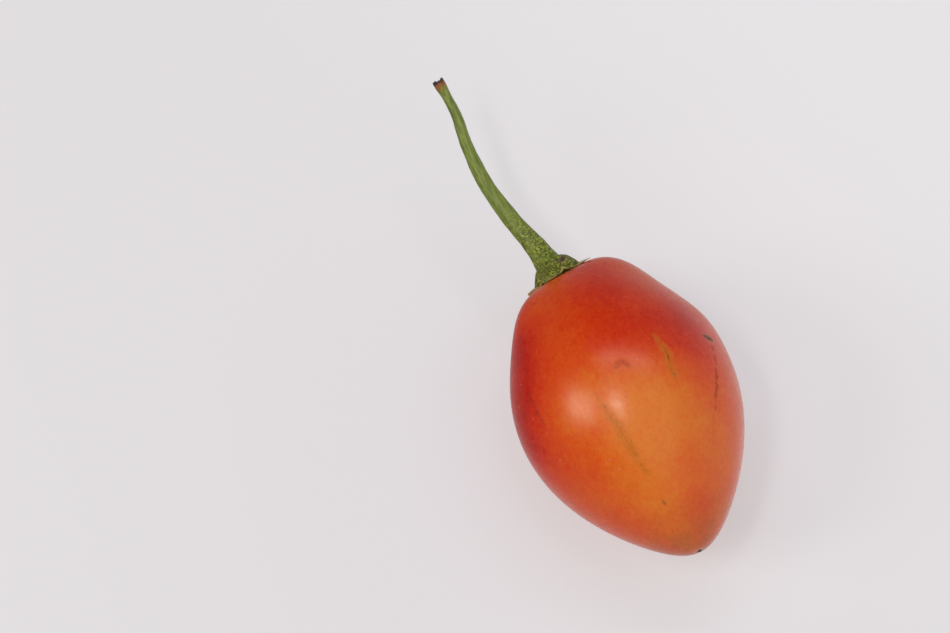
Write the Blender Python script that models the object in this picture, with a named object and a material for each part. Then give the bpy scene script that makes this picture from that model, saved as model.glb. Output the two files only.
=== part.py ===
"""A tree tomato, or tamarillo, as picked: an egg-shaped fruit, its lobed calyx and its long stem.

Metres, +Z up. The fruit lies on its side. The origin is the centre of the small flat spot that it rests on,
and +Y runs along the fruit's long axis, from the blossom tip to the stem end.
"""

import math

import bmesh
import bpy
from mathutils import Matrix, Vector
from mathutils.bvhtree import BVHTree

# The fruit
FRUIT_LENGTH = 0.0706  # of the plain egg, without the raised shoulders
FRUIT_WIDTH = 0.0497
FLAT_DEPTH = 0.0006  # how much of the round side the resting spot takes away
FULLNESS = (0.067, -0.27, 0.03)  # makes the stem end blunt and the blossom end pointed
DIMPLE_DEPTH = 0.0015  # the hollow at the stem end, where the calyx sits
DIMPLE_RADIUS = 0.0058
FRUIT_SEGMENTS = 48
FRUIT_RINGS = 32

# The shoulders beside the calyx. Each one's rise, radians from the stem end's pole on the unit sphere,
# radians round from the +X side over the top, and spread on the unit sphere
SHOULDERS = (
    (0.0031, 0.50, 0.20, 0.35),
    (0.0016, 0.61, 2.79, 0.30),
)

# The calyx
LOBES = 5
LOBE_TIP_RADIUS = 0.0074
NOTCH_RADIUS = 0.0052
LOBE_THICKNESS = 0.0005
CALYX_HEIGHT = 0.0045  # from the skin under it to the flat top that the stem stands on
CALYX_TOP_RADIUS = 0.0034
CALYX_TOP_SHARE = 0.5  # how far out over the flattened sphere that flat top reaches
CALYX_ROUNDNESS = 1.8  # 1 gives a straight slope from the top to the lobes, and more a rounder one
CALYX_SIDE = -0.0008  # it sits a little to one side of the fruit's axis
CALYX_LEAN = -0.0007  # its top is further to that side than its lobes
CALYX_SEGMENTS = 40
CALYX_RINGS = 12

# The stem's route and thickness: sideways, out past the calyx, up, and radius
STEM_ROUTE = (
    (-0.0015, 0.0000, 0.0000, 0.0032),
    (-0.0019, 0.0028, -0.0003, 0.0028),
    (-0.0025, 0.0062, -0.0004, 0.0024),
    (-0.0048, 0.0146, 0.0001, 0.0020),
    (-0.0067, 0.0243, 0.0013, 0.0017),
    (-0.0071, 0.0338, 0.0032, 0.0014),
    (-0.0065, 0.0412, 0.0049, 0.0012),
    (-0.0068, 0.0460, 0.0062, 0.0011),
    (-0.0074, 0.0498, 0.0078, 0.0013),
)
STEM_STEPS = 5  # straight steps between two points of the route
STEM_BEVEL = 4

GAP = 0.0003  # kept between pieces that touch

FRUIT_RADIUS = FRUIT_WIDTH / 2
HALF_LENGTH = FRUIT_LENGTH / 2
AXIS_HEIGHT = FRUIT_RADIUS - FLAT_DEPTH
AXIS_TO_Y = Matrix.Rotation(-math.pi / 2, 3, "X")  # turns a sphere's poles from Z to Y


def clear_scene():
    for old in list(bpy.data.objects):
        bpy.data.objects.remove(old, do_unlink=True)


def new_collection(name):
    collection = bpy.data.collections.new(name)
    bpy.context.scene.collection.children.link(collection)
    return collection


def new_material(name, colour, roughness):
    material = bpy.data.materials.new(name)
    material.use_nodes = True
    shader = material.node_tree.nodes["Principled BSDF"]
    shader.inputs["Base Color"].default_value = (*colour, 1.0)
    shader.inputs["Roughness"].default_value = roughness
    shader.inputs["Metallic"].default_value = 0.0
    return material


def add_object(name, data, collection, material=None):
    made = bpy.data.objects.new(name, data)
    collection.objects.link(made)
    if material:
        data.materials.append(material)
    return made


def sphere_mesh(name, segments, rings, reshape):
    """A unit sphere with its poles on the Y axis, each of whose points goes where reshape puts it."""
    mesh = bpy.data.meshes.new(name)
    shape = bmesh.new()
    bmesh.ops.create_uvsphere(shape, u_segments=segments, v_segments=rings, radius=1.0)
    bmesh.ops.rotate(shape, verts=shape.verts, cent=(0, 0, 0), matrix=AXIS_TO_Y)
    for vertex in shape.verts:
        vertex.co = reshape(vertex.co.copy())
    bmesh.ops.recalc_face_normals(shape, faces=shape.faces)
    shape.to_mesh(mesh)
    shape.free()
    mesh.shade_smooth()
    return mesh


def dimple(radius):
    return DIMPLE_DEPTH * math.exp(-((radius / DIMPLE_RADIUS) ** 2))


def shoulder_rise(unit):
    """How much the shoulders raise the skin above this point of a unit sphere."""
    raised = 0.0
    for rise, turn, lift, spread in SHOULDERS:
        side = math.sin(turn)
        peak = Vector((side * math.cos(lift), math.cos(turn), side * math.sin(lift)))
        raised += rise * math.exp(-(((unit - peak).length / spread) ** 2))
    return raised


def fruit_point(unit):
    """The fruit's skin above this point of a unit sphere, about the fruit's own centre."""
    along = unit.y
    first, second, third = FULLNESS
    fullness = 1 + first * along + second * along**2 + third * along**3
    side = Vector((unit.x, 0, unit.z)) * FRUIT_RADIUS * fullness
    end = HALF_LENGTH * along
    outward = Vector((unit.x / FRUIT_RADIUS, along / HALF_LENGTH, unit.z / FRUIT_RADIUS)).normalized()
    if along > 0:
        end -= dimple(side.length)
    return Vector((side.x, end, side.z)) + outward * shoulder_rise(unit)


def skin_tree(mesh):
    """The fruit's skin, for finding where it lies."""
    return BVHTree.FromPolygons([v.co for v in mesh.vertices], [p.vertices for p in mesh.polygons])


def stem_end(skin, side, rise):
    """How far along the axis the skin lies on the stem end, at this place beside and above the axis."""
    hit, _, _, _ = skin.ray_cast(Vector((side, FRUIT_LENGTH, rise)), Vector((0, -1, 0)))
    return hit.y


def lobe_radius(angle):
    """The calyx's outline: rounded lobes with a notch between each two."""
    share = abs(math.cos(LOBES * angle / 2)) ** 0.8
    return NOTCH_RADIUS + (LOBE_TIP_RADIUS - NOTCH_RADIUS) * share


def calyx_top(skin):
    return stem_end(skin, CALYX_SIDE, 0) + CALYX_HEIGHT


def calyx_point(unit, skin):
    """A flattened sphere pressed onto the stem end: its lower half follows the skin, and its upper half
    slopes from the lobes up to the flat top."""
    out = math.hypot(unit.x, unit.z)
    angle = math.atan2(unit.z, unit.x)
    slope_share = max(0.0, (out - CALYX_TOP_SHARE) / (1 - CALYX_TOP_SHARE))
    top_share = min(1.0, out / CALYX_TOP_SHARE)
    radius = CALYX_TOP_RADIUS * top_share + (lobe_radius(angle) - CALYX_TOP_RADIUS) * slope_share
    side = radius * math.cos(angle) + CALYX_SIDE
    rise = radius * math.sin(angle)
    end = stem_end(skin, side, rise) + GAP
    if unit.y > 0:
        side += CALYX_LEAN * (1 - slope_share)
    if unit.y > 0 and out < 1:
        lobe_top = end + LOBE_THICKNESS * (1 - slope_share**4)
        end = lobe_top + (calyx_top(skin) - lobe_top) * (1 - slope_share**CALYX_ROUNDNESS)
    return Vector((side, end, rise))


def add_fruit(collection, cutters):
    mesh = sphere_mesh("fruit", FRUIT_SEGMENTS, FRUIT_RINGS, fruit_point)
    fruit = add_object("fruit", mesh, collection, new_material("fruit_skin", (0.62, 0.09, 0.02), 0.38))
    fruit.location = (0, 0, AXIS_HEIGHT)
    rest_plane = add_rest_plane(cutters)
    cut = fruit.modifiers.new("flat_spot", "BOOLEAN")
    cut.operation = "DIFFERENCE"
    cut.solver = "EXACT"
    cut.object = rest_plane
    return fruit


def add_rest_plane(cutters):
    """A block whose top is at Z = 0: it takes away what would reach below the resting surface."""
    mesh = bpy.data.meshes.new("rest_plane")
    block = bmesh.new()
    bmesh.ops.create_cube(block, size=FRUIT_LENGTH)
    block.to_mesh(mesh)
    block.free()
    rest_plane = add_object("rest_plane", mesh, cutters)
    rest_plane.location = (0, 0, -FRUIT_LENGTH / 2)
    rest_plane.hide_render = True
    rest_plane.display_type = "WIRE"
    return rest_plane


def add_calyx(collection, skin):
    mesh = sphere_mesh("calyx", CALYX_SEGMENTS, CALYX_RINGS, lambda unit: calyx_point(unit, skin))
    calyx = add_object("calyx", mesh, collection, new_material("calyx_green", (0.12, 0.17, 0.03), 0.6))
    calyx.location = (0, 0, AXIS_HEIGHT)
    return calyx


def add_stem(collection, skin):
    curve = bpy.data.curves.new("stem", "CURVE")
    curve.dimensions = "3D"
    curve.resolution_u = STEM_STEPS
    curve.render_resolution_u = 0
    curve.bevel_depth = 1.0
    curve.bevel_resolution = STEM_BEVEL
    curve.use_fill_caps = True
    spline = curve.splines.new("BEZIER")
    spline.bezier_points.add(len(STEM_ROUTE) - 1)
    for point, (side, out, rise, radius) in zip(spline.bezier_points, STEM_ROUTE):
        point.co = (side, out, rise)
        point.radius = radius
        point.handle_left_type = "AUTO"
        point.handle_right_type = "AUTO"
    foot = spline.bezier_points[0]
    foot.handle_left_type = "FREE"
    foot.handle_right_type = "FREE"
    foot.handle_left = foot.co - Vector((0, STEM_ROUTE[1][1] / 3, 0))
    foot.handle_right = foot.co + Vector((0, STEM_ROUTE[1][1] / 3, 0))
    stem = add_object("stem", curve, collection, new_material("stem_green", (0.17, 0.24, 0.05), 0.55))
    stem.location = (0, calyx_top(skin) + GAP, AXIS_HEIGHT)
    return stem


def build():
    clear_scene()
    parts = new_collection("tree_tomato")
    cutters = new_collection("cutters")
    fruit = add_fruit(parts, cutters)
    skin = skin_tree(fruit.data)
    add_calyx(parts, skin)
    add_stem(parts, skin)


build()
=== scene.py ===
"""The looks of a tree tomato that lies on its side: its satin skin, its lobed calyx and its long green stem.

Metres, +Z up, in the row frame: the fruit rests on a small flat spot at the origin, and +Y runs along its
long axis from the blossom tip to the stem end. A place on the skin is given as its distance along the axis
from the fruit's centre, in millimetres, and its angle round the axis from the top towards +X, in degrees.
"""

import math

import bmesh
import bpy
import numpy as np
from mathutils import Matrix, Vector, noise
from mathutils.bvhtree import BVHTree


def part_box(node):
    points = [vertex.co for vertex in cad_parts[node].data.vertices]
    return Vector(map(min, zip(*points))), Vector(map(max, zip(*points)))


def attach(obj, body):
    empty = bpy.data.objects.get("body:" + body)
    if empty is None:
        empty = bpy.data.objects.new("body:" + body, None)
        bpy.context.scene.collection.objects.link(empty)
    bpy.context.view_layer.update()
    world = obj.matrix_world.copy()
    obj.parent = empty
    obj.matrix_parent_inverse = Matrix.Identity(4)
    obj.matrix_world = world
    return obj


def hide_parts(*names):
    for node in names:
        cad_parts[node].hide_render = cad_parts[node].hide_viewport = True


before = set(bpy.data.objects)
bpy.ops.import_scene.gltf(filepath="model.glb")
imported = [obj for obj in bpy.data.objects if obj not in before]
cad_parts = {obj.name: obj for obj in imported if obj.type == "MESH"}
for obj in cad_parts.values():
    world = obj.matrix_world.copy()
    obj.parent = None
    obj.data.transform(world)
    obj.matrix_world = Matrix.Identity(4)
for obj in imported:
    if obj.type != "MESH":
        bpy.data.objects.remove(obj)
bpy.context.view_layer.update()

MM = 0.001
DEGREE = math.pi / 180

# The fruit, from its place in the frame
FRUIT_LOW, FRUIT_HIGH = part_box("fruit")
FRUIT_RADIUS = (FRUIT_HIGH.x - FRUIT_LOW.x) / 2
HALF_LENGTH = -FRUIT_LOW.y
AXIS_HEIGHT = FRUIT_HIGH.z - FRUIT_RADIUS
FULLNESS = (0.067, -0.27, 0.03)  # makes the stem end blunt and the blossom end pointed
FULLNESS_AT_TIP = 1 - FULLNESS[0] + FULLNESS[1] - FULLNESS[2]
DIMPLE_DEPTH = 1.5 * MM  # the hollow at the stem end, where the calyx sits
DIMPLE_RADIUS = 5.8 * MM
FRUIT_SEGMENTS = 384
FRUIT_RINGS = 256
REST_BLEND = 0.1 * MM  # how softly the flat resting spot runs into the round side
TIP_HOLLOW = (0.30 * MM, 1.1 * MM)  # the blossom scar's depth and radius
TIP_NUB = (0.45 * MM, 0.4 * MM)  # and those of the point in its middle

# Swellings of the skin: turn from the stem end's pole and angle from the top (degrees), spread on the unit
# sphere, and height. The first two are the raised shoulders beside the calyx.
SWELLINGS = (
    (28.6, 78.5, 0.35, 3.1 * MM),
    (35.0, -70.0, 0.30, 1.6 * MM),
    (33.0, -165.0, 0.30, 0.7 * MM),
    (71.0, 76.0, 0.24, 0.8 * MM),
    (75.0, 150.0, 0.60, 0.3 * MM),
)

# Slight lengthwise waves round its girth: how many, height, and their turn at the middle and along the axis
WAVES = (
    (5, 0.05 * MM, 1.0, 1.5),
    (3, 0.06 * MM, -0.6, -2.0),
    (9, 0.03 * MM, 0.0, 4.0),
)

# How orange the skin is between 0 and 1 where nothing else is said
MIDDLING = 0.52

# Where the skin is redder (less than 0) or more orange: (along, around), reach in millimetres, and amount.
# The two places at -72 and -80 degrees are painted shade, deep red on the left side.
RIPE_AND_SHADE_PLACES = (
    ((-8.0, 2.0), 12.0, 0.36),
    ((-16.0, 40.0), 14.0, 0.20),
    ((-16.0, -22.0), 9.0, 0.22),
    ((-28.0, -30.0), 12.0, 0.22),
    ((1.0, -36.0), 9.0, 0.20),
    # painted shade: these two push the left side to deep red
    ((15.0, -72.0), 11.0, -0.75),
    ((0.0, -80.0), 8.0, -0.40),
    ((13.0, -10.0), 7.0, -0.20),
    ((10.0, 10.0), 8.0, -0.20),
    ((3.0, 34.0), 9.0, -0.25),
    ((10.0, 42.0), 9.0, -0.25),
    ((-9.0, 48.0), 9.0, -0.12),
    ((27.0, 15.0), 10.0, -0.35),
    ((8.0, 170.0), 20.0, -0.15),
    ((-14.0, 150.0), 16.0, 0.25),
)

# Corky streaks over the skin. Each place on a streak: along, around, half the width of its mustard band in
# millimetres, and how strong the thin dark line in its middle is. The last three are on the unseen sides.
STREAKS = (
    (
        (0.6, -23.0, 0.20, 0.5),
        (-2.2, -23.0, 0.45, 0.7),
        (-5.1, -22.2, 0.75, 0.7),
        (-8.3, -21.2, 1.20, 0.6),
        (-12.2, -20.8, 1.30, 0.5),
        (-17.2, -20.6, 0.90, 0.4),
        (-21.0, -18.0, 0.50, 0.2),
    ),
    (
        (7.5, 16.5, 0.10, 0.8),
        (4.6, 17.6, 0.75, 1.0),
        (1.5, 18.0, 1.35, 1.2),
        (-1.0, 17.2, 1.20, 1.0),
        (-3.2, 17.0, 0.80, 1.4),
        (-5.0, 17.0, 0.50, 0.4),
    ),
    (
        (2.4, 52.0, 0.10, 1.0),
        (-2.0, 47.6, 0.25, 1.8),
        (-6.5, 43.0, 0.25, 1.8),
        (-10.6, 38.2, 0.20, 1.6),
        (-14.4, 34.2, 0.10, 1.2),
        (-18.0, 31.0, 0.05, 0.6),
    ),
    (
        (10.2, -61.4, 0.05, 1.0),
        (6.6, -59.2, 0.08, 1.7),
        (3.4, -58.0, 0.08, 1.7),
        (0.0, -57.0, 0.05, 0.8),
    ),
    (
        (6.0, 130.0, 0.20, 0.6),
        (1.0, 127.0, 0.70, 0.8),
        (-5.0, 126.0, 0.80, 0.8),
        (-12.0, 121.0, 0.20, 0.4),
    ),
    (
        (15.0, -150.0, 0.20, 0.7),
        (9.0, -148.0, 0.60, 0.9),
        (4.0, -149.0, 0.50, 0.8),
        (0.0, -145.0, 0.10, 0.3),
    ),
    (
        (-8.0, -112.0, 0.10, 0.6),
        (-13.0, -110.0, 0.30, 0.8),
        (-17.0, -105.0, 0.10, 0.4),
    ),
)

# Small dark marks: (along, around), radius in millimetres, and strength
SPOTS = (
    ((4.0, 48.8), 0.85, 0.8),
    ((3.6, 51.4), 1.15, 1.0),
    ((3.2, 54.2), 0.85, 0.9),
    ((-3.3, 17.0), 0.50, 0.5),
    ((-25.4, -21.0), 0.75, 0.40),
    ((-30.4, -52.0), 0.30, 0.8),
    ((-5.2, -55.0), 0.30, 0.5),
    ((-28.0, 87.0), 0.38, 0.9),
    ((-19.0, -106.0), 0.38, 0.8),
    ((9.7, 30.0), 0.25, 0.4),
    ((-9.0, 140.0), 0.50, 0.7),
    ((18.0, -120.0), 0.45, 0.6),
)

# Places where pale flecks crowd together: (along, around) and reach in millimetres
FLECKED = (
    ((11.0, -29.0), 3.0),
    ((26.8, -28.0), 2.5),
    ((-11.0, 53.0), 3.0),
    ((2.0, 165.0), 4.0),
)

# The crescent dent on the upper side: its path as (along, around) places, and the raised lip below it
DENT = ((2.6, -8.2), (3.3, -6.4), (3.4, -5.0), (2.9, -3.6), (1.9, -2.8))
DENT_DEPTH = 0.16 * MM
DENT_WIDTH = 0.42  # millimetres over the skin, and so are the next three
# how wide the brownish stain and painted shade along the dent reach
DENT_STAIN_AND_SHADE_WIDTH = 0.55
DENT_LIP_OFF = 0.9
DENT_LIP_WIDTH = 0.6
DENT_LIP_HEIGHT = 0.05 * MM

# The calyx
CALYX_SIDE = -0.8 * MM  # it sits a little to one side of the fruit's axis
CALYX_LEAN = -0.7 * MM  # its top is further to that side than its lobes
CALYX_HEIGHT = 4.5 * MM
CALYX_TOP_RADIUS = 3.35 * MM
NOTCH_RADIUS = 5.1 * MM
LOBE_THICKNESS = 0.40 * MM
NOTCH_LIFT = 0.85 * MM  # how far the calyx's rim stands off the skin at a notch
NOTCH_REACH = 17.0  # degrees to each side of it
FIRST_NOTCH = 8.0  # degrees from the top
LOBE_COUNT = 5
GROOVE_DEPTH = 0.32 * MM  # of the groove that runs up from each notch
BULGE_PLACE = 0.38  # below 1 the lobes bulge most near the stem
LOBE_STEP = 360 / LOBE_COUNT
CALYX_STEP = 1.25  # degrees between two of its mesh's columns

# Each lobe, from the one beside the raised shoulder on towards +X and round: how far its green part reaches
# from the calyx's middle, how far its dry tip does, how high that tip curls, how high the lobe bulges, and
# how many degrees the tip is off the lobe's middle
CALYX_LOBES = (
    (6.3 * MM, 9.3 * MM, 0.35 * MM, 0.70 * MM, 5.0),
    (6.2 * MM, 6.8 * MM, 0.2 * MM, 0.30 * MM, 0.0),
    (6.4 * MM, 7.3 * MM, 0.7 * MM, 0.45 * MM, -4.0),
    (6.6 * MM, 8.3 * MM, 1.2 * MM, 0.20 * MM, 15.0),
    (6.5 * MM, 7.4 * MM, 0.2 * MM, 0.10 * MM, 3.0),
)
TIP_REACH = 13.0  # degrees to each side of a lobe's middle

# Brown marks on its lobes: angle from the top, distance from its middle, and radius
CALYX_SPOTS = ((22.0, 4.5 * MM, 0.75 * MM), (195.0, 5.2 * MM, 0.7 * MM))

# The stem's route from the calyx's top and its thickness: sideways, outwards, up, and radius
STEM_ROUTE = np.array(
    (
        (-1.5, -0.6, 0.1, 3.40),
        (-1.5, 0.0, 0.0, 3.25),
        (-1.9, 2.8, -0.3, 2.80),
        (-2.5, 6.2, -0.4, 2.42),
        (-4.8, 14.6, 0.1, 2.02),
        (-6.7, 24.3, 1.3, 1.72),
        (-7.1, 33.8, 3.2, 1.42),
        (-6.5, 41.2, 4.9, 1.20),
        (-6.8, 46.0, 6.2, 1.12),
        (-7.4, 49.7, 7.8, 1.25),
    )
) * MM
STEM_STEPS = 24  # between two points of the route
STEM_SEGMENTS = 80
STEM_GRAIN = 0.022  # how rough its side is, as a share of its radius

# Ridges along the stem: how many, height as a share of its radius, turn at the cut and turn per millimetre
RIDGES = (
    (5, 0.028, 0.0, 0.05),
    (9, 0.016, 1.0, -0.08),
)

# Rings of points over the cut, from its rim to its middle: share of the radius, and millimetres outwards
CUT_RINGS = (
    (0.93, 0.22),
    (0.76, 0.16),
    (0.52, -0.10),
    (0.25, -0.25),
)

# The view: where the camera looks from, and where the fruit's centre falls in it
VIEW_AZIMUTH = -24.0 * DEGREE
VIEW_ELEVATION = 68.0 * DEGREE
VIEW_DISTANCE = 0.496
VIEW_LENS = 85
AIM_LEFT = 0.0342
AIM_UP = 0.0208

# The room's light: its mean strength, and how much it gains towards each axis
ROOM_STRENGTH = 0.34
ROOM_GAIN = (0.40, -0.30, -0.35)

# The floor's own faint light: the side that it grows towards, where it starts and stops growing (metres
# that way), and its strength there
FLOOR_BRIGHT_SIDE = (0.98, 0.20, 0.0)
FLOOR_GLOW_FROM, FLOOR_GLOW_TO = -0.08, 0.16
FLOOR_GLOW_LOW, FLOOR_GLOW_HIGH = 0.37, 0.47
FLOOR_SIZE = 4.0

# Soft rectangular lights: name, direction as the camera sees it (right, up, towards it), distance, size,
# power and colour
LIGHTS = (
    ("left_window", (-0.79, 0.03, 0.61), 0.9, (0.40, 0.32), 2.5, (1.0, 0.98, 0.95)),
    ("middle_window", (-0.32, 0.13, 0.94), 1.0, (0.12, 0.26), 1.9, (1.0, 1.0, 1.0)),
    ("back_strip", (-0.08, 0.735, 0.67), 1.0, (0.90, 0.18), 2.0, (0.94, 0.88, 1.0)),
    ("ceiling", (0.05, 0.10, 0.99), 1.6, (2.2, 2.2), 9.0, (1.0, 0.99, 0.98)),
)

RIGHT = Vector((math.cos(VIEW_AZIMUTH), math.sin(VIEW_AZIMUTH), 0))
BACK = Vector(
    (
        math.sin(VIEW_AZIMUTH) * math.cos(VIEW_ELEVATION),
        -math.cos(VIEW_AZIMUTH) * math.cos(VIEW_ELEVATION),
        math.sin(VIEW_ELEVATION),
    )
)
UP = BACK.cross(RIGHT)
CENTRE = Vector((0, 0, AXIS_HEIGHT))


# ---------------------------------------------------------------------------------------------- helpers


def bell(distance, width):
    """1 at no distance, falling smoothly to 0 past the width."""
    return np.exp(-((distance / width) ** 2))


def ease(value, low, high):
    """0 below low and 1 above high, with a smooth rise between them."""
    share = np.clip((value - low) / (high - low), 0, 1)
    return share * share * (3 - 2 * share)


def unit_direction(turn, around):
    """The point of a unit sphere at these degrees from the +Y pole and round it from the top."""
    turn, around = turn * DEGREE, around * DEGREE
    return np.array((math.sin(turn) * math.sin(around), math.cos(turn), math.sin(turn) * math.cos(around)))


def path_distance(along, around, path):
    """Signed millimetres over the skin from each point to a path of (along, around) places, and how far on
    the path the nearest place is, from 0 to 1."""
    nearest = np.full(len(along), np.inf)
    signed = np.full(len(along), 99.0)
    share = np.zeros(len(along))
    for step, ((from_along, from_around), (to_along, to_around)) in enumerate(zip(path, path[1:])):
        out = np.column_stack((along - from_along, skin_offset(around, from_around)))
        run = np.array((to_along - from_along, skin_offset(to_around, from_around)))
        part = np.clip(out @ run / (run @ run), 0, 1)
        distance = np.linalg.norm(out - part[:, None] * run, axis=1)
        closer = distance < nearest
        nearest = np.where(closer, distance, nearest)
        side = np.sign(out[:, 0] * run[1] - out[:, 1] * run[0])
        signed = np.where(closer, distance * side, signed)
        share = np.where(closer, (step + part) / (len(path) - 1), share)
    return signed, share


def write_values(mesh, name, values):
    made = mesh.attributes.new(name, "FLOAT", "POINT")
    made.data.foreach_set("value", np.asarray(values, np.float32).ravel())


def add_piece(name, mesh, material, node):
    """The object for a mesh in the row frame, in place of a CAD node."""
    mesh.materials.append(material)
    mesh.shade_smooth()
    piece = bpy.data.objects.new(name, mesh)
    bpy.context.scene.collection.objects.link(piece)
    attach(piece, "root")
    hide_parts(node)
    return piece


def grid_mesh(name, rows):
    """A closed skin over rows of points, each row a ring; the first and last rings are closed by a point."""
    count = rows.shape[1]
    mesh = bpy.data.meshes.new(name)
    shape = bmesh.new()
    rings = [[shape.verts.new(point) for point in row] for row in rows]
    for ring, following in zip(rings, rings[1:]):
        for i in range(count):
            j = (i + 1) % count
            shape.faces.new((ring[i], ring[j], following[j], following[i]))
    for ring in (rings[0], rings[-1]):
        hub = shape.verts.new(sum((v.co for v in ring), Vector()) / count)
        for i in range(count):
            shape.faces.new((hub, ring[i], ring[(i + 1) % count]))
    bmesh.ops.recalc_face_normals(shape, faces=shape.faces)
    shape.to_mesh(mesh)
    shape.free()
    return mesh


# ------------------------------------------------------------------------------------------------ fruit


def skin_offset(around, from_around):
    """Millimetres over the skin between two angles round the axis."""
    return ((around - from_around + 180) % 360 - 180) * FRUIT_RADIUS / MM * DEGREE


def skin_distance(along, around, place):
    """Millimetres over the skin from each point to a place given as (along, around)."""
    return np.hypot(along - place[0], skin_offset(around, place[1]))


def fruit_points(unit):
    """The skin over these points of a unit sphere whose poles are on the Y axis."""
    along = unit[:, 1]
    first, second, third = FULLNESS
    fullness = 1 + first * along + second * along**2 + third * along**3
    side = unit[:, (0, 2)] * FRUIT_RADIUS * fullness[:, None]
    end = HALF_LENGTH * along
    outward = unit / np.array((FRUIT_RADIUS, HALF_LENGTH, FRUIT_RADIUS))
    outward /= np.linalg.norm(outward, axis=1)[:, None]
    raised = np.zeros(len(unit))
    for turn, around, spread, height in SWELLINGS:
        raised += height * bell(np.linalg.norm(unit - unit_direction(turn, around), axis=1), spread)
    angle = np.arctan2(unit[:, 0], unit[:, 2])
    for count, height, turn, twist in WAVES:
        raised += height * (1 - along**2) * np.cos(count * angle + turn + twist * along)
    groove, _ = path_distance(end / MM, angle / DEGREE, DENT)
    raised -= DENT_DEPTH * bell(groove, DENT_WIDTH)
    below, _ = path_distance(end / MM + DENT_LIP_OFF, angle / DEGREE, DENT)
    raised += DENT_LIP_HEIGHT * bell(below, DENT_LIP_WIDTH)
    end = end - np.where(along > 0, DIMPLE_DEPTH * bell(np.linalg.norm(side, axis=1), DIMPLE_RADIUS), 0)
    points = np.column_stack((side[:, 0], end, side[:, 1])) + outward * raised[:, None]
    tip = np.where(along < 0, np.hypot(points[:, 0], points[:, 2]), 1)
    hollow, nub = TIP_HOLLOW, TIP_NUB
    points[:, 1] += hollow[0] * bell(tip, hollow[1]) - nub[0] * bell(tip, nub[1])
    height = points[:, 2] + AXIS_HEIGHT
    points[:, 2] = (height + np.sqrt(height**2 + REST_BLEND**2)) / 2
    return points


def ripeness_and_shade(along, around):
    """0 where the skin is deepest red, 1 where it is most orange. The left side is pushed towards 0 as
    painted shade.
    """
    value = np.full(len(along), MIDDLING)
    for place, reach, amount in RIPE_AND_SHADE_PLACES:
        value += amount * bell(skin_distance(along, around, place), reach)
    return np.clip(value, 0, 1)


def write_streaks(mesh, along, around):
    """For each point: the distance to the nearest streak's middle, its band's width, its line's strength."""
    offset = np.full(len(along), 99.0)
    band = np.zeros(len(along))
    line = np.zeros(len(along))
    for streak in STREAKS:
        places = np.array(streak)
        signed, share = path_distance(along, around, places[:, :2])
        closer = np.abs(signed) < np.abs(offset)
        stations = np.linspace(0, 1, len(places))
        ends = ease(share, 0, 0.06) * (1 - ease(share, 0.9, 1.0))
        offset = np.where(closer, signed, offset)
        band = np.where(closer, np.interp(share, stations, places[:, 2]) * ends, band)
        line = np.where(closer, np.interp(share, stations, places[:, 3]) * ends, line)
    write_values(mesh, "streak_offset", np.clip(offset, -6, 6))
    write_values(mesh, "streak_band", band)
    write_values(mesh, "streak_line", line)


def write_spots(mesh, along, around):
    """For each point: how deep it lies in the nearest small mark, and that mark's strength."""
    depth = np.full(len(along), -9.0)
    strength = np.zeros(len(along))
    for place, radius, strongest in SPOTS:
        inside = 1 - skin_distance(along, around, place) / radius
        strength = np.where(inside > depth, strongest, strength)
        depth = np.maximum(depth, inside)
    write_values(mesh, "spot_depth", np.clip(depth, -2, 1))
    write_values(mesh, "spot_strength", strength)


def fruit_mesh():
    turns = np.arange(1, FRUIT_RINGS)[:, None] * math.pi / FRUIT_RINGS
    angles = np.arange(FRUIT_SEGMENTS)[None, :] * 2 * math.pi / FRUIT_SEGMENTS
    across = np.sin(turns) * np.sin(angles)
    along = np.cos(turns) * np.ones_like(angles)
    upwards = np.sin(turns) * np.cos(angles)
    rows = np.stack((across, along, upwards), -1)
    mesh = grid_mesh("fruit_body", rows)
    unit = np.empty(len(mesh.vertices) * 3, np.float32)
    mesh.vertices.foreach_get("co", unit)
    unit = unit.reshape(-1, 3).astype(float)
    unit /= np.linalg.norm(unit, axis=1)[:, None]
    mesh.vertices.foreach_set("co", fruit_points(unit).astype(np.float32).ravel())
    mesh.update()
    along = unit[:, 1] * HALF_LENGTH / MM
    around = np.arctan2(unit[:, 0], unit[:, 2]) / DEGREE
    crowd = np.zeros(len(along))
    for place, reach in FLECKED:
        crowd = np.maximum(crowd, bell(skin_distance(along, around, place), reach))
    from_axis = np.sqrt(1 - unit[:, 1] ** 2) * FRUIT_RADIUS * FULLNESS_AT_TIP / MM
    write_values(mesh, "along", along)
    write_values(mesh, "from_tip", np.where(along < 0, from_axis, 99))
    # ripeness, with painted shade as deep red on the left side
    write_values(mesh, "ripe_and_shade", ripeness_and_shade(along, around))
    write_values(mesh, "crowd", crowd)
    # mask for a brownish stain and painted shade along the crescent dent
    write_values(mesh, "dent", bell(path_distance(along, around, DENT)[0], DENT_STAIN_AND_SHADE_WIDTH))
    write_streaks(mesh, along, around)
    write_spots(mesh, along, around)
    return mesh


# ------------------------------------------------------------------------------------------------ calyx


def skin_tree(mesh):
    points = [v.co for v in mesh.vertices]
    return BVHTree.FromPolygons(points, [p.vertices for p in mesh.polygons])


def stem_end(skin, side, rise):
    """How far along +Y the skin lies on the stem end, at this place beside and above the axis."""
    hit, _, _, _ = skin.ray_cast(Vector((side, 0.1, AXIS_HEIGHT + rise)), Vector((0, -1, 0)))
    return hit.y


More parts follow.
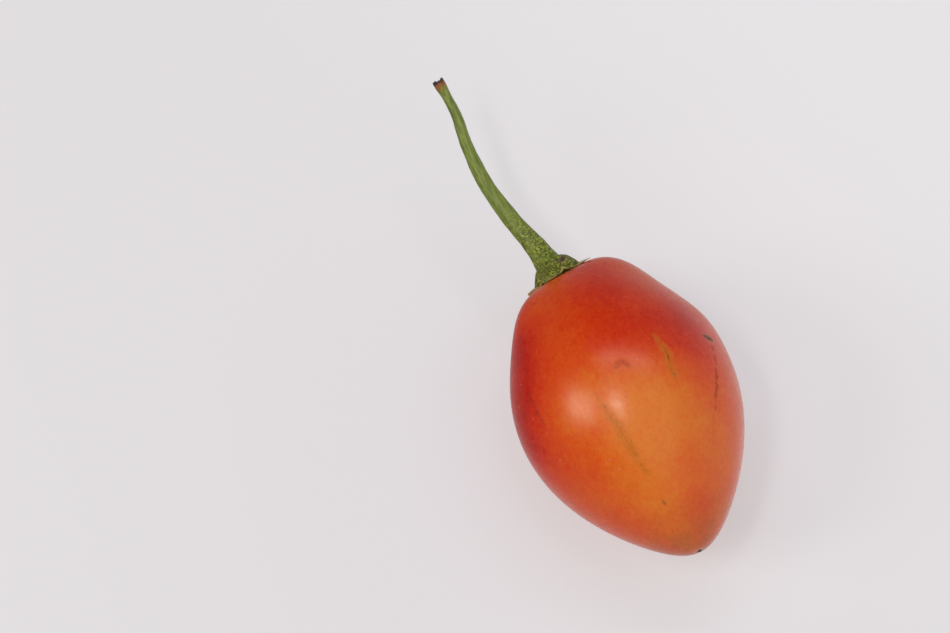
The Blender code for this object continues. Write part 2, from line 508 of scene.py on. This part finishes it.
class CalyxSpoke:
    """The calyx's cross-section in the direction of one angle, in degrees from the top towards +X."""

    def __init__(self, angle, skin, top):
        turns = (angle - FIRST_NOTCH) / LOBE_STEP
        from_notch = abs((turns + 0.5) % 1 - 0.5) * LOBE_STEP
        self.angle = angle
        self.skin = skin
        self.top = top
        self.notch = float(bell(from_notch, 9.0))
        self.middle = float(ease(from_notch, 8.0, 30.0))
        crinkle = 0.12 * math.sin(11 * angle * DEGREE) + 0.08 * math.sin(23 * angle * DEGREE + 1)
        lobe, reach, self.curl, self.bulge, aside = CALYX_LOBES[int(math.floor(turns)) % LOBE_COUNT]
        from_tip = (turns % 1 - 0.5) * LOBE_STEP - aside
        self.dome = NOTCH_RADIUS + (lobe - NOTCH_RADIUS) * float(ease(from_notch, 0.0, 30.0)) + crinkle * MM
        self.pointed = max(0.0, 1 - abs(from_tip) / TIP_REACH) ** 0.6
        self.reach = self.dome + 0.15 * MM + max(0.0, reach - self.dome) * self.pointed
        self.lift = NOTCH_LIFT * max(0.0, 1 - from_notch / NOTCH_REACH) ** 1.1
        self.pale = 0.25 + 0.75 * float(bell(from_notch, 14.0))
        self.roundness = 1.75 + 0.45 * math.sin(angle * DEGREE)
        self.rim_top = self.under(self.dome) + LOBE_THICKNESS

    def place(self, radius):
        return radius * math.sin(self.angle * DEGREE) + CALYX_SIDE, radius * math.cos(self.angle * DEGREE)

    def under(self, radius):
        """How far out the underside lies at this radius."""
        tip_share = max(0.0, radius - self.dome) / max(self.reach - self.dome, 0.1 * MM)
        lifted = self.lift * float(ease(radius / self.dome, 0.45, 1.0))
        ripple = 0.05 * MM * math.sin(17 * self.angle * DEGREE) * float(ease(radius / self.dome, 0.8, 1.0))
        curl = self.curl * self.pointed * tip_share**2
        return stem_end(self.skin, *self.place(radius)) + 0.14 * MM + lifted + ripple + curl

    def over(self, radius):
        """How far out the upper side lies at this radius."""
        if radius >= self.dome:
            thin = 1 - 0.75 * (radius - self.dome) / (self.reach - self.dome)
            return self.under(radius) + LOBE_THICKNESS * thin
        share = (radius - CALYX_TOP_RADIUS) / (self.dome - CALYX_TOP_RADIUS)
        height = self.rim_top + (self.top - self.rim_top) * (1 - share**self.roundness)
        bulge = self.bulge * self.middle - GROOVE_DEPTH * self.notch
        return height + bulge * math.sin(math.pi * share**BULGE_PLACE)

    def ring_places(self):
        """Each ring's radius, how far out it lies, and how far its place leans with the calyx's top."""
        for share in np.linspace(0.08, 1, 20):
            radius = self.reach * share
            yield radius, self.under(radius), 0.0
        yield self.reach + 0.04 * MM, (self.under(self.reach) + self.over(self.reach)) / 2, 0.0
        for share in np.linspace(0, 1, 9):
            radius = self.reach + (self.dome - self.reach) * share
            yield radius, self.over(radius), 0.0
        for share in np.linspace(0.97, 0, 34):
            radius = CALYX_TOP_RADIUS + (self.dome - CALYX_TOP_RADIUS) * share
            yield radius, self.over(radius), 1 - share
        for share in np.linspace(0.9, 0.1, 6):
            yield CALYX_TOP_RADIUS * share, self.top, 1.0


def calyx_mesh(skin):
    """Rings from the middle of the underside, out to the lobes' rim and back up to the flat top."""
    top = stem_end(skin, CALYX_SIDE, 0) + CALYX_HEIGHT
    marks = []
    for angle, radius, reach in CALYX_SPOTS:
        spoke = CalyxSpoke(angle, skin, top)
        side, rise = spoke.place(radius)
        marks.append((Vector((side, spoke.over(radius), AXIS_HEIGHT + rise)), reach))
    columns, rims, dries, spots = [], [], [], []
    for angle in np.arange(0, 360, CALYX_STEP):
        spoke = CalyxSpoke(angle, skin, top)
        column = []
        for radius, end, leaning in spoke.ring_places():
            side, rise = spoke.place(radius)
            if leaning < 1:
                spot = Vector((side, end, rise))
                end += (0.10 * noise.noise(spot * 900) + 0.05 * noise.noise(spot * 2200)) * MM
            column.append(Vector((side + CALYX_LEAN * leaning, end, AXIS_HEIGHT + rise)))
            rims.append(float(ease(radius / spoke.dome, 0.96, 1.0)) * spoke.pale)
            dries.append(float(ease(radius - spoke.dome, 0.1 * MM, 0.5 * MM)))
            spots.append(max(float(bell((column[-1] - place).length, reach)) for place, reach in marks))
        columns.append(column)
    rows = np.array(columns).transpose(1, 0, 2)
    mesh = grid_mesh("calyx_cup", rows)
    for name, values in (("rim", rims), ("dry", dries), ("spot", spots)):
        by_ring = np.array(values).reshape(len(columns), -1).T
        write_values(mesh, name, np.append(by_ring.ravel(), (0, 0)))
    return mesh


# ------------------------------------------------------------------------------------------------- stem


def smooth_route(route, steps):
    """Points of a Catmull-Rom curve through the route, with each column smoothed alike."""
    padded = np.vstack((2 * route[0] - route[1], route, 2 * route[-1] - route[-2]))
    found = []
    for a, b, c, d in zip(padded, padded[1:], padded[2:], padded[3:]):
        for share in np.arange(steps) / steps:
            found.append(
                0.5 * (2 * b + (c - a) * share + (2 * a - 5 * b + 4 * c - d) * share**2
                       + (3 * b - a - 3 * c + d) * share**3)
            )
    found.append(route[-1])
    return np.array(found)


def fine_grain(point):
    return noise.noise(point * 700) + 0.5 * noise.noise(point * 1900)


def stem_mesh(foot):
    """A tapered stalk with faint ridges, swollen at its far end, where the cut is rough and slanted."""
    route = smooth_route(STEM_ROUTE, STEM_STEPS)
    middle = route[:, :3] + np.array(foot)
    heading = np.gradient(middle, axis=0)
    heading /= np.linalg.norm(heading, axis=1)[:, None]
    length = np.concatenate(((0,), np.cumsum(np.linalg.norm(np.diff(middle, axis=0), axis=1))))
    from_end = (length[-1] - length) / MM
    around = np.arange(STEM_SEGMENTS) * 2 * math.pi / STEM_SEGMENTS
    rows, left = [], []
    for place, ahead, radius, s in zip(middle, heading, route[:, 3], from_end):
        across = np.cross(ahead, (0, 0, 1))
        across /= np.linalg.norm(across)
        above = np.cross(across, ahead)
        ridges = sum(rise * np.cos(count * around + turn + twist * s) for count, rise, turn, twist in RIDGES)
        knobs = 0.020 * math.cos(0.55 * s) + 0.012 * np.cos(2 * around - 1.3 * s + 2)
        club = 0.10 * bell(s - 1.2, 1.6)
        thick = radius * (1 + ridges + knobs + club)
        row = place + np.outer(np.cos(around) * thick, across) + np.outer(np.sin(around) * thick, above)
        grain = np.array([fine_grain(Vector(point)) for point in row])
        row += (row - place) * (STEM_GRAIN * grain)[:, None]
        rows.append(row)
        left.append(np.full(len(around), s))
    rough = 0.20 * np.cos(2 * around + 0.6) + 0.14 * np.cos(5 * around + 1) + 0.08 * np.cos(11 * around)
    cut_rim = rows[-1] - middle[-1]
    for share, out in CUT_RINGS:
        rows.append(middle[-1] + cut_rim * share + np.outer((out + rough * share) * MM, heading[-1]))
        left.append(np.full(len(around), -0.5))
    mesh = grid_mesh("stem_stalk", np.array(rows))
    write_values(mesh, "left", np.append(np.array(left).ravel(), (length[-1] / MM, -0.5)))
    return mesh


# -------------------------------------------------------------------------------------------- materials


ALONG_FRUIT = (1, 0.42, 1)  # stretches a pattern along the fruit's axis

# The skin's colours, from deepest red to most orange, at their places on the scale of ripeness. The deepest
# red also serves as painted shade on the left side.
SKIN_COLOURS = (
    (0.0, (0.50, 0.010, 0.002)),
    (0.14, (0.58, 0.019, 0.004)),
    (0.35, (0.66, 0.044, 0.006)),
    (0.60, (0.71, 0.090, 0.010)),
    (0.82, (0.74, 0.150, 0.014)),
    (1.0, (0.75, 0.200, 0.020)),
)
DUSKY_TIP = (0.36, 0.105, 0.024, 1)
RUSSET = (0.30, 0.120, 0.040, 1)  # round the calyx
SCAR_EDGE = (0.190, 0.075, 0.030, 1)
SCAR = (0.050, 0.026, 0.016, 1)
DENT_STAIN_AND_SHADE = (0.64, 0.50, 0.50, 1)  # the skin's colour is multiplied by it: a brownish stain and painted shade along the crescent dent

# Streaks, marks and flecks on the skin
STREAK_MUSTARD = (0.62, 0.155, 0.004, 1)
STREAK_LINE_SHADE = (0.66, 0.54, 0.20, 1)
STREAK_CRUMB_SHADE = (0.80, 0.68, 0.30, 1)
SPOT_DARK = (0.085, 0.036, 0.022, 1)
SPOT_RING = (0.42, 0.150, 0.060, 1)
FLECK_PALE = (0.85, 0.42, 0.26, 1)
PINPRICK = (0.150, 0.040, 0.015, 1)

# The calyx and the stem
CALYX_GREEN = (0.115, 0.140, 0.012, 1)
CALYX_DARK = (0.042, 0.052, 0.007, 1)
CALYX_LIGHT = (0.330, 0.330, 0.045, 1)
CALYX_BROWN = (0.140, 0.090, 0.040, 1)
CALYX_PALE_RIM = (0.420, 0.320, 0.090, 1)
CALYX_DRY_TIP = (0.450, 0.310, 0.130, 1)
CALYX_SPOT_EDGE = (0.190, 0.150, 0.080, 1)
CALYX_SPOT = (0.060, 0.026, 0.014, 1)
STEM_STRIPES = ((0.120, 0.165, 0.016, 1), (0.215, 0.270, 0.045, 1))
STEM_GREEN = (0.150, 0.190, 0.016, 1)
STEM_DARK = (0.060, 0.088, 0.009, 1)
STEM_LIGHT = (0.390, 0.410, 0.060, 1)
STEM_RUST = (0.190, 0.095, 0.025, 1)
STEM_BROWN_END = (0.300, 0.080, 0.016, 1)
STEM_CUT = (0.045, 0.020, 0.018, 1)

# The floor and the room
FLOOR_COLOUR = (0.42, 0.40, 0.405, 1)
FLOOR_GLOW_COLOUR = (0.99, 0.985, 1.0, 1)
ROOM_COLOUR = (0.97, 0.98, 1.0, 1)


class Nodes:
    """Short calls for wiring a material's nodes. A number or a colour may stand where a socket may."""

    def __init__(self, name):
        self.material = bpy.data.materials.new(name)
        self.material.use_nodes = True
        self.tree = self.material.node_tree
        self.shader = self.tree.nodes["Principled BSDF"]

    def put(self, socket, value):
        if isinstance(value, bpy.types.NodeSocket):
            self.tree.links.new(value, socket)
        else:
            socket.default_value = value

    def add(self, kind, **settings):
        made = self.tree.nodes.new(kind)
        for name, value in settings.items():
            setattr(made, name, value)
        return made

    def math(self, operation, a, b=0.0, clamp=False):
        made = self.add("ShaderNodeMath", operation=operation, use_clamp=clamp)
        self.put(made.inputs[0], a)
        self.put(made.inputs[1], b)
        return made.outputs[0]

    def value(self, attribute):
        return self.add("ShaderNodeAttribute", attribute_name=attribute).outputs["Fac"]

    def object_place(self, stretch=(1, 1, 1)):
        """Places on the object in metres, with each axis multiplied."""
        place = self.add("ShaderNodeTexCoord").outputs["Object"]
        made = self.add("ShaderNodeVectorMath", operation="MULTIPLY")
        self.put(made.inputs[0], place)
        self.put(made.inputs[1], stretch)
        return made.outputs[0]

    def noise(self, place, scale, detail=2.0, roughness=0.5):
        made = self.add("ShaderNodeTexNoise")
        self.put(made.inputs["Vector"], place)
        self.put(made.inputs["Scale"], scale)
        self.put(made.inputs["Detail"], detail)
        self.put(made.inputs["Roughness"], roughness)
        return made.outputs["Fac"]

    def cells(self, place, scale, output="Distance"):
        made = self.add("ShaderNodeTexVoronoi")
        self.put(made.inputs["Vector"], place)
        self.put(made.inputs["Scale"], scale)
        return made.outputs[output]

    def rise(self, value, low, high, to_low=0.0, to_high=1.0):
        made = self.add("ShaderNodeMapRange", interpolation_type="SMOOTHSTEP")
        for socket, given in zip(made.inputs[:5], (value, low, high, to_low, to_high)):
            self.put(socket, given)
        return made.outputs[0]

    def ramp(self, value, stops):
        made = self.add("ShaderNodeValToRGB")
        for _ in range(len(stops) - 2):
            made.color_ramp.elements.new(0.5)
        for element, (position, colour) in zip(made.color_ramp.elements, stops):
            element.position = position
            element.color = (*colour, 1)
        self.put(made.inputs[0], value)
        return made.outputs[0]

    def blend(self, share, a, b, kind="MIX"):
        made = self.add("ShaderNodeMix", data_type="RGBA", blend_type=kind)
        self.put(made.inputs[0], share)
        self.put(made.inputs[6], a)
        self.put(made.inputs[7], b)
        return made.outputs[2]

    def bump(self, height, strength, distance):
        made = self.add("ShaderNodeBump")
        self.put(made.inputs["Strength"], strength)
        self.put(made.inputs["Distance"], distance)
        self.put(made.inputs["Height"], height)
        self.put(self.shader.inputs["Normal"], made.outputs[0])


def add_streaks(n, colour, place):
    """Corky streaks: a soft mottled mustard band with darker crumbs, and a thin broken line along its
    middle. Also gives their mask."""
    wobble = n.math("MULTIPLY", n.math("SUBTRACT", n.noise(place, 420, 3.0, 0.65), 0.5), 1.6)
    offset = n.math("ABSOLUTE", n.math("ADD", n.value("streak_offset"), wobble))
    width = n.value("streak_band")
    patches = n.noise(n.object_place((1, 0.6, 1)), 1000, 3.0, 0.6)
    inside = n.math("SUBTRACT", width, offset)
    band = n.math("MULTIPLY", n.rise(inside, -0.6, 0.6), n.rise(width, 0.1, 0.5))
    mottle = n.noise(n.object_place((1, 0.7, 1)), 1500, 3.0, 0.7)
    mustard = n.math("MULTIPLY", band, n.rise(mottle, 0.36, 0.56, 0.25, 0.95))
    colour = n.blend(mustard, colour, STREAK_MUSTARD)
    strength = n.value("streak_line")
    thick = n.math("MULTIPLY", n.rise(patches, 0.40, 0.64, 0.05, 0.30), strength)
    line = n.rise(n.math("SUBTRACT", thick, offset), -0.08, 0.10)
    line = n.math("MULTIPLY", line, n.rise(patches, 0.36, 0.50, 0.2, 1.0))
    line = n.math("MULTIPLY", line, n.rise(strength, 0.0, 1.5, 0.4, 1.0))
    colour = n.blend(line, colour, STREAK_LINE_SHADE, "MULTIPLY")
    crumbs = n.noise(n.object_place((1, 0.5, 1)), 2100, 2.0, 0.6)
    crumbs = n.math("MULTIPLY", n.rise(crumbs, 0.53, 0.61, 0.0, 0.85), band)
    colour = n.blend(crumbs, colour, STREAK_CRUMB_SHADE, "MULTIPLY")
    return colour, n.math("MAXIMUM", n.math("MULTIPLY", band, 0.6), line)


def add_spots(n, colour, place):
    """Small dark marks with uneven edges and a faint ring of dry skin. Also gives their mask."""
    uneven = n.math("MULTIPLY", n.math("SUBTRACT", n.noise(place, 1500, 3.0), 0.5), 1.6)
    depth = n.math("ADD", n.value("spot_depth"), uneven)
    strength = n.value("spot_strength")
    ring = n.math("MULTIPLY", n.rise(depth, -0.55, 0.1, 0.0, 0.35), strength)
    colour = n.blend(ring, colour, SPOT_RING)
    spot = n.math("MULTIPLY", n.rise(depth, 0.15, 0.6), strength)
    return n.blend(spot, colour, SPOT_DARK), spot


def add_flecks(n, colour, place):
    """Sparse pale flecks, thicker where they crowd, and even fewer dark pinpricks."""
    picked = n.cells(place, 820, "Color")
    rare = n.math("GREATER_THAN", n.math("ADD", picked, n.math("MULTIPLY", n.value("crowd"), 0.22)), 0.86)
    flecks = n.math("MULTIPLY", n.rise(n.cells(place, 820), 0.10, 0.24, 0.45, 0.0), rare)
    colour = n.blend(flecks, colour, FLECK_PALE)
    rarer = n.math("GREATER_THAN", n.cells(place, 260, "Color"), 0.86)
    pricks = n.math("MULTIPLY", n.rise(n.cells(place, 260), 0.03, 0.07, 0.5, 0.0), rarer)
    return n.blend(pricks, colour, PINPRICK)


def ripe_and_shade_colour(n, place, fine):
    """Red to orange: the broad areas, with painted shade as deep red on the left side, then clouds and a
    grain that is drawn out along the fruit.
    """
    clouds = n.math("SUBTRACT", n.noise(place, 110, 4.0, 0.55), 0.5)
    grain = n.math("SUBTRACT", n.noise(n.object_place(ALONG_FRUIT), 1100, 3.0, 0.7), 0.5)
    ripe_and_shade = n.math("ADD", n.value("ripe_and_shade"), n.math("MULTIPLY", clouds, 0.40))
    ripe_and_shade = n.math("ADD", ripe_and_shade, n.math("MULTIPLY", grain, 0.52))
    ripe_and_shade = n.math("ADD", ripe_and_shade, n.math("MULTIPLY", fine, 0.50), clamp=True)
    return n.ramp(ripe_and_shade, SKIN_COLOURS)


def add_dusk(n, colour, place):
    """The browner skin towards the blossom end."""
    dusk = n.rise(n.value("along"), -34.5, -24.0, 1.0, 0.0)
    dusk = n.math("MULTIPLY", dusk, n.rise(n.noise(place, 260, 3.0), 0.3, 0.7, 0.3, 0.9))
    return n.blend(n.math("MULTIPLY", dusk, 0.6), colour, DUSKY_TIP)


def add_russet(n, colour, place):
    """Rough brown skin under the calyx's rim."""
    patches = n.rise(n.noise(place, 1300, 3.0), 0.4, 0.6, 0.2, 0.8)
    russet = n.math("MULTIPLY", n.rise(n.value("along"), 32.6, 34.0), patches)
    return n.blend(russet, colour, RUSSET)


def add_blossom_scar(n, colour, place):
    """The dark scar at the tip, with a brown edge. Also gives its mask."""
    from_tip = n.math("ADD", n.value("from_tip"), n.math("MULTIPLY", n.noise(place, 900, 3.0), 0.8))
    colour = n.blend(n.rise(from_tip, 0.9, 2.6, 0.6, 0.0), colour, SCAR_EDGE)
    scar = n.rise(from_tip, 0.75, 1.05, 1.0, 0.0)
    return n.blend(scar, colour, SCAR), scar


def skin_material():
    """Satin skin: red to orange with fine flecks along the fruit, corky streaks, small marks and a scar,
    with painted shade on its left side and along the crescent dent.
    """
    n = Nodes("fruit_skin_satin")
    place = n.object_place()
    fine = n.math("SUBTRACT", n.noise(n.object_place(ALONG_FRUIT), 3000, 1.0), 0.5)
    # the ripe colour includes painted shade as deep red on the left side
    colour = add_dusk(n, ripe_and_shade_colour(n, place, fine), place)
    # painted shade and a brownish stain along the crescent dent
    colour = n.blend(n.math("MULTIPLY", n.value("dent"), 0.9), colour, DENT_STAIN_AND_SHADE, "MULTIPLY")
    colour, streaks = add_streaks(n, colour, place)
    colour, spots = add_spots(n, colour, place)
    colour = add_flecks(n, colour, place)
    colour = add_russet(n, colour, place)
    colour, scar = add_blossom_scar(n, colour, place)
    n.put(n.shader.inputs["Base Color"], colour)

    dull = n.math("MAXIMUM", n.math("MAXIMUM", streaks, spots), scar)
    rough = n.rise(n.noise(place, 600, 3.0), 0.3, 0.7, 0.25, 0.33)
    n.put(n.shader.inputs["Roughness"], n.math("ADD", rough, n.math("MULTIPLY", dull, 0.25)))
    n.shader.inputs["IOR"].default_value = 1.45
    n.shader.inputs["Specular Tint"].default_value = (1.0, 0.96, 0.78, 1)
    n.shader.inputs["Subsurface Weight"].default_value = 0.08
    n.shader.inputs["Subsurface Radius"].default_value = (1.0, 0.25, 0.10)
    n.shader.inputs["Subsurface Scale"].default_value = 0.0015
    pores = n.math("ADD", n.noise(place, 1400, 2.0), n.math("MULTIPLY", fine, 0.3))
    n.bump(n.math("SUBTRACT", pores, n.math("MULTIPLY", dull, 0.8)), 0.012, 0.00010)
    return n.material


def green_speckles(n, place, green, dark, light):
    """Plant green with darker blotches and many short lighter flecks."""
    broad = n.noise(place, 640, 4.0, 0.75)
    fine = n.noise(place, 1900, 3.0, 0.7)
    colour = n.blend(n.rise(broad, 0.44, 0.56), dark, green)
    return n.blend(n.rise(fine, 0.52, 0.58), colour, light)


def calyx_material():
    """Speckled green with brown areas and marks, pale rims at the notches and dry tips."""
    n = Nodes("calyx_green_speckled")
    place = n.object_place()
    colour = green_speckles(n, place, CALYX_GREEN, CALYX_DARK, CALYX_LIGHT)
    brown = n.rise(n.noise(place, 380, 3.0, 0.6), 0.54, 0.66, 0.0, 0.6)
    colour = n.blend(brown, colour, CALYX_BROWN)
    spot = n.value("spot")
    uneven = n.rise(n.noise(place, 1100, 2.0), 0.35, 0.6, 0.2, 0.7)
    edge = n.math("MULTIPLY", n.rise(spot, 0.02, 0.25), uneven)
    colour = n.blend(edge, colour, CALYX_SPOT_EDGE)
    colour = n.blend(n.rise(spot, 0.30, 0.80, 0.0, 0.9), colour, CALYX_SPOT)
    rim = n.rise(n.value("rim"), 0.45, 0.95)
    pale = n.math("MULTIPLY", rim, n.rise(n.noise(place, 900, 2.0), 0.35, 0.6, 0.35, 1.0))
    colour = n.blend(pale, colour, CALYX_PALE_RIM)
    colour = n.blend(n.math("MULTIPLY", n.value("dry"), 0.9), colour, CALYX_DRY_TIP)
    n.put(n.shader.inputs["Base Color"], colour)
    n.put(n.shader.inputs["Roughness"], n.rise(n.noise(place, 1800, 2.0), 0.3, 0.7, 0.50, 0.68))
    n.shader.inputs["Specular IOR Level"].default_value = 0.35
    n.bump(n.noise(place, 1500, 3.0, 0.6), 0.5, 0.0002)
    return n.material


def stem_material():
    """Green stripes along the stem, speckles near the calyx, and a brown end with a dark cut."""
    n = Nodes("stem_green_striped")
    left = n.value("left")
    place = n.object_place()
    stripes = n.noise(n.object_place((1.0, 0.10, 0.5)), 1700, 3.0, 0.6)
    colour = n.blend(n.rise(stripes, 0.38, 0.62), *STEM_STRIPES)
    near_calyx = n.rise(left, 30.0, 46.0)
    speckled = green_speckles(n, place, STEM_GREEN, STEM_DARK, STEM_LIGHT)
    colour = n.blend(n.math("MULTIPLY", near_calyx, 0.85), colour, speckled)
    rust = n.rise(n.noise(place, 650, 3.0), 0.60, 0.72, 0.0, 0.35)
    colour = n.blend(rust, colour, STEM_RUST)
    ragged = n.math("MULTIPLY", n.math("SUBTRACT", n.noise(place, 600, 2.0), 0.5), 2.6)
    left = n.math("ADD", left, ragged)
    colour = n.blend(n.rise(left, 1.1, 2.6, 0.95, 0.0), colour, STEM_BROWN_END)
    colour = n.blend(n.rise(left, 0.1, 1.0, 1.0, 0.0), colour, STEM_CUT)
    n.put(n.shader.inputs["Base Color"], colour)
    n.put(n.shader.inputs["Roughness"], n.rise(stripes, 0.3, 0.7, 0.40, 0.56))
    n.shader.inputs["Specular IOR Level"].default_value = 0.4
    n.bump(n.math("ADD", stripes, n.noise(place, 1500, 2.0)), 0.4, 0.00018)
    return n.material


def floor_material():
    """A pale surface that glows a little, so that shadows on it stay faint."""
    n = Nodes("pale_floor")
    n.shader.inputs["Base Color"].default_value = FLOOR_COLOUR
    n.shader.inputs["Roughness"].default_value = 0.6
    n.shader.inputs["Specular IOR Level"].default_value = 0.2
    sides = n.add("ShaderNodeVectorMath", operation="DOT_PRODUCT")
    n.put(sides.inputs[0], n.object_place())
    n.put(sides.inputs[1], FLOOR_BRIGHT_SIDE)
    n.shader.inputs["Emission Color"].default_value = FLOOR_GLOW_COLOUR
    glow = n.rise(sides.outputs["Value"], FLOOR_GLOW_FROM, FLOOR_GLOW_TO, FLOOR_GLOW_LOW, FLOOR_GLOW_HIGH)
    n.put(n.shader.inputs["Emission Strength"], glow)
    return n.material


# ------------------------------------------------------------------------------------ stage and lights


def seen_from_camera(right, up, back):
    """A direction given as the camera sees it, in the row frame."""
    return (RIGHT * right + UP * up + BACK * back).normalized()


def add_camera():
    camera = bpy.data.objects.new("camera", bpy.data.cameras.new("camera"))
    camera.data.lens = VIEW_LENS
    camera.data.sensor_width = 36
    camera.location = CENTRE - RIGHT * AIM_LEFT + UP * AIM_UP + BACK * VIEW_DISTANCE
    camera.rotation_mode = "QUATERNION"
    camera.rotation_quaternion = Matrix((RIGHT, UP, BACK)).transposed().to_quaternion()
    bpy.context.scene.collection.objects.link(camera)
    bpy.context.scene.camera = camera


def add_light(name, seen, distance, size, power, colour):
    """A soft rectangular light that faces the fruit, with its wide side level in the view."""
    direction = seen_from_camera(*seen)
    light = bpy.data.objects.new(name, bpy.data.lights.new(name, "AREA"))
    light.data.shape = "RECTANGLE"
    light.data.size, light.data.size_y = size
    light.data.energy = power
    light.data.color = colour
    light.location = CENTRE + direction * distance
    across = (RIGHT - direction * RIGHT.dot(direction)).normalized()
    upwards = direction.cross(across)
    light.rotation_mode = "QUATERNION"
    light.rotation_quaternion = Matrix((across, upwards, direction)).transposed().to_quaternion()
    bpy.context.scene.collection.objects.link(light)


def add_room():
    """A pale room that is brighter low down and at the front right, and dark high up at the back left."""
    world = bpy.data.worlds.new("pale_room")
    world.use_nodes = True
    tree = world.node_tree
    direction = tree.nodes.new("ShaderNodeTexCoord")
    towards = tree.nodes.new("ShaderNodeVectorMath")
    towards.operation = "DOT_PRODUCT"
    towards.inputs[1].default_value = ROOM_GAIN
    strength = tree.nodes.new("ShaderNodeMath")
    strength.inputs[1].default_value = ROOM_STRENGTH
    lowest = tree.nodes.new("ShaderNodeMath")
    lowest.operation = "MAXIMUM"
    lowest.inputs[1].default_value = 0.0
    background = tree.nodes["Background"]
    background.inputs["Color"].default_value = ROOM_COLOUR
    tree.links.new(direction.outputs["Generated"], towards.inputs[0])
    tree.links.new(towards.outputs["Value"], strength.inputs[0])
    tree.links.new(strength.outputs[0], lowest.inputs[0])
    tree.links.new(lowest.outputs[0], background.inputs["Strength"])
    bpy.context.scene.world = world


def add_floor():
    """A wide level floor. Glossy skin does not mirror its glow."""
    mesh = bpy.data.meshes.new("floor")
    shape = bmesh.new()
    bmesh.ops.create_grid(shape, x_segments=1, y_segments=1, size=FLOOR_SIZE / 2)
    shape.to_mesh(mesh)
    shape.free()
    mesh.materials.append(floor_material())
    floor = bpy.data.objects.new("floor", mesh)
    floor.visible_glossy = False
    bpy.context.scene.collection.objects.link(floor)


# ---------------------------------------------------------------------------------------------- scene


skin_mesh = fruit_mesh()
skin = skin_tree(skin_mesh)
fruit = add_piece("fruit_body", skin_mesh, skin_material(), "fruit")

calyx = add_piece("calyx_cup", calyx_mesh(skin), calyx_material(), "calyx")

stem_foot = (0, stem_end(skin, CALYX_SIDE, 0) + CALYX_HEIGHT, AXIS_HEIGHT)
stem = add_piece("stem_stalk", stem_mesh(stem_foot), stem_material(), "stem")

add_floor()
for light in LIGHTS:
    add_light(*light)
add_room()
add_camera()
bpy.context.scene.view_settings.view_transform = "Standard"
